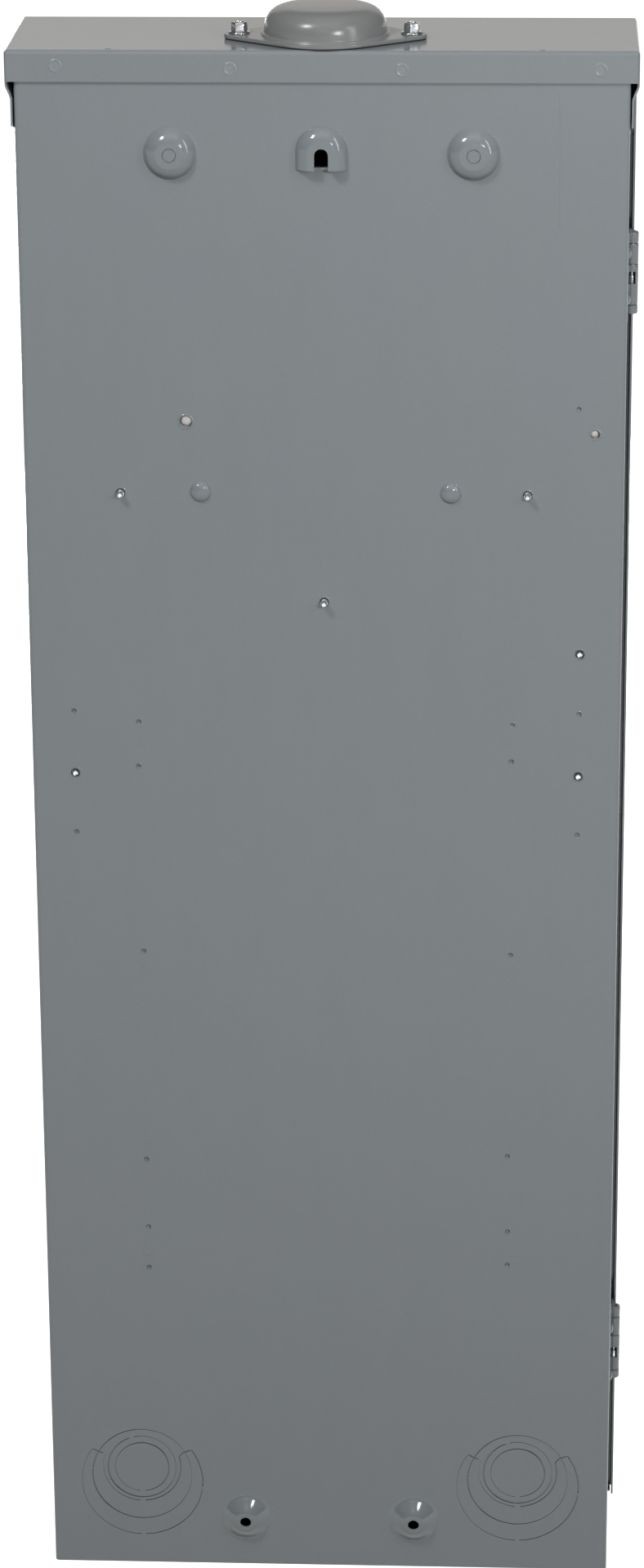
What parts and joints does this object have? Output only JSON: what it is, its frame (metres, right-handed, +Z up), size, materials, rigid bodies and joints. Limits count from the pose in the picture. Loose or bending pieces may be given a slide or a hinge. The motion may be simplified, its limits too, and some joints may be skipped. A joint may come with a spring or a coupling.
{
  "type": "residential load center",
  "caption": "Tall rainproof electrical panel: gray sheet-steel box with side-hinged door, domed hub cap on top, wall bosses behind, breakers and bus inside.",
  "frame": {"origin": "centre of the enclosure's flat underside", "axes": "+Z up along the height, -Y out through the door (front), +Y toward the wall, hinges on the -X side"},
  "size_m": [0.375, 0.1185, 1.0208],
  "materials": {
    "gray_paint": "semi-gloss baked enamel",
    "zinc_plate": "bright zinc plate",
    "galvanised_steel": "galvanised sheet",
    "aluminium": "extruded",
    "tin_plate": "tin-plated bar",
    "moulded_base": "moulded thermoset",
    "breaker_case": "moulded phenolic",
    "handle_black": "smooth moulding",
    "gasket_rubber": "matte",
    "green_screw": "green dyed plate"
  },
  "bodies": {
    "enclosure": {"enclosure_wrapper": "gray_paint", "bottom_endwall": "gray_paint", "top_cap": "gray_paint", "hub_closing_cap": "gray_paint", "deadfront": "gray_paint", "hinge_upper_body_leaf": "gray_paint", "hinge_lower_body_leaf": "gray_paint", "hub_screw_left": "zinc_plate", "hub_screw_right": "zinc_plate", "hinge_upper_pin": "zinc_plate", "hinge_lower_pin": "zinc_plate", "deadfront_screw_lower_left": "zinc_plate", "deadfront_screw_upper_left": "zinc_plate", "deadfront_screw_lower_right": "zinc_plate", "deadfront_screw_upper_right": "zinc_plate", "interior_screw_left": "zinc_plate", "interior_screw_right": "zinc_plate", "interior_screw_centre": "zinc_plate", "ground_screw_left_1": "zinc_plate", "ground_screw_left_2": "zinc_plate", "ground_screw_right_1": "zinc_plate", "line_lug_screw_left": "zinc_plate", "line_lug_screw_right": "zinc_plate", "latch_keeper": "galvanised_steel", "interior_pan": "galvanised_steel", "neutral_bar_left": "aluminium", "neutral_bar_right": "aluminium", "neutral_cross_strap": "aluminium", "ground_bar_left": "aluminium", "ground_bar_right": "aluminium", "line_lug_left": "aluminium", "line_lug_right": "aluminium", "bus_bar_a": "tin_plate", "bus_bar_b": "tin_plate", "insulating_base": "moulded_base", "neutral_insulator_left": "moulded_base", "neutral_insulator_right": "moulded_base", "hub_gasket": "gasket_rubber", "bonding_screw": "green_screw", "main_breaker_case": "breaker_case", "branch_left_1_case": "breaker_case", "branch_left_2_case": "breaker_case", "branch_left_3_case": "breaker_case", "branch_right_1_case": "breaker_case", "branch_right_2_case": "breaker_case", "branch_right_3_case": "breaker_case"},
    "door_body": {"door": "gray_paint", "hinge_upper_door_leaf": "gray_paint", "hinge_lower_door_leaf": "gray_paint", "latch_guide": "galvanised_steel"},
    "latch_slide_body": {"latch_slide": "handle_black"},
    "main_handle_body": {"main_breaker_handle": "handle_black"},
    "branch_left_1_handle_body": {"branch_left_1_handle": "handle_black"},
    "branch_left_2_handle_body": {"branch_left_2_handle": "handle_black"},
    "branch_left_3_handle_body": {"branch_left_3_handle": "handle_black"},
    "branch_right_1_handle_body": {"branch_right_1_handle": "handle_black"},
    "branch_right_2_handle_body": {"branch_right_2_handle": "handle_black"},
    "branch_right_3_handle_body": {"branch_right_3_handle": "handle_black"}
  },
  "joints": [
    {"name": "door_swing", "type": "hinge", "parent": "enclosure", "child": "door_body", "pos_m": [-0.1852, -0.034, 0.49], "axis": [0, 0, -1], "range_deg": [0, 110]},
    {"name": "latch_slide_travel", "type": "slide", "parent": "door_body", "child": "latch_slide_body", "axis": [1, 0, 0], "range_m": [0, 0.006]},
    {"name": "main_breaker_toggle", "type": "hinge", "parent": "enclosure", "child": "main_handle_body", "pos_m": [0, -0.032, 0.751], "axis": [1, 0, 0], "range_deg": [0, 40]},
    {"name": "branch_left_1_toggle", "type": "hinge", "parent": "enclosure", "child": "branch_left_1_handle_body", "pos_m": [-0.044, -0.035, 0.5275], "axis": [0, 0, -1], "range_deg": [0, 40]},
    {"name": "branch_left_2_toggle", "type": "hinge", "parent": "enclosure", "child": "branch_left_2_handle_body", "pos_m": [-0.044, -0.035, 0.5656], "axis": [0, 0, -1], "range_deg": [0, 40]},
    {"name": "branch_left_3_toggle", "type": "hinge", "parent": "enclosure", "child": "branch_left_3_handle_body", "pos_m": [-0.044, -0.035, 0.591], "axis": [0, 0, -1], "range_deg": [0, 40]},
    {"name": "branch_right_1_toggle", "type": "hinge", "parent": "enclosure", "child": "branch_right_1_handle_body", "pos_m": [0.044, -0.035, 0.5275], "axis": [0, 0, 1], "range_deg": [0, 40]},
    {"name": "branch_right_2_toggle", "type": "hinge", "parent": "enclosure", "child": "branch_right_2_handle_body", "pos_m": [0.044, -0.035, 0.5656], "axis": [0, 0, 1], "range_deg": [0, 40]},
    {"name": "branch_right_3_toggle", "type": "hinge", "parent": "enclosure", "child": "branch_right_3_handle_body", "pos_m": [0.044, -0.035, 0.591], "axis": [0, 0, 1], "range_deg": [0, 40]}
  ]
}
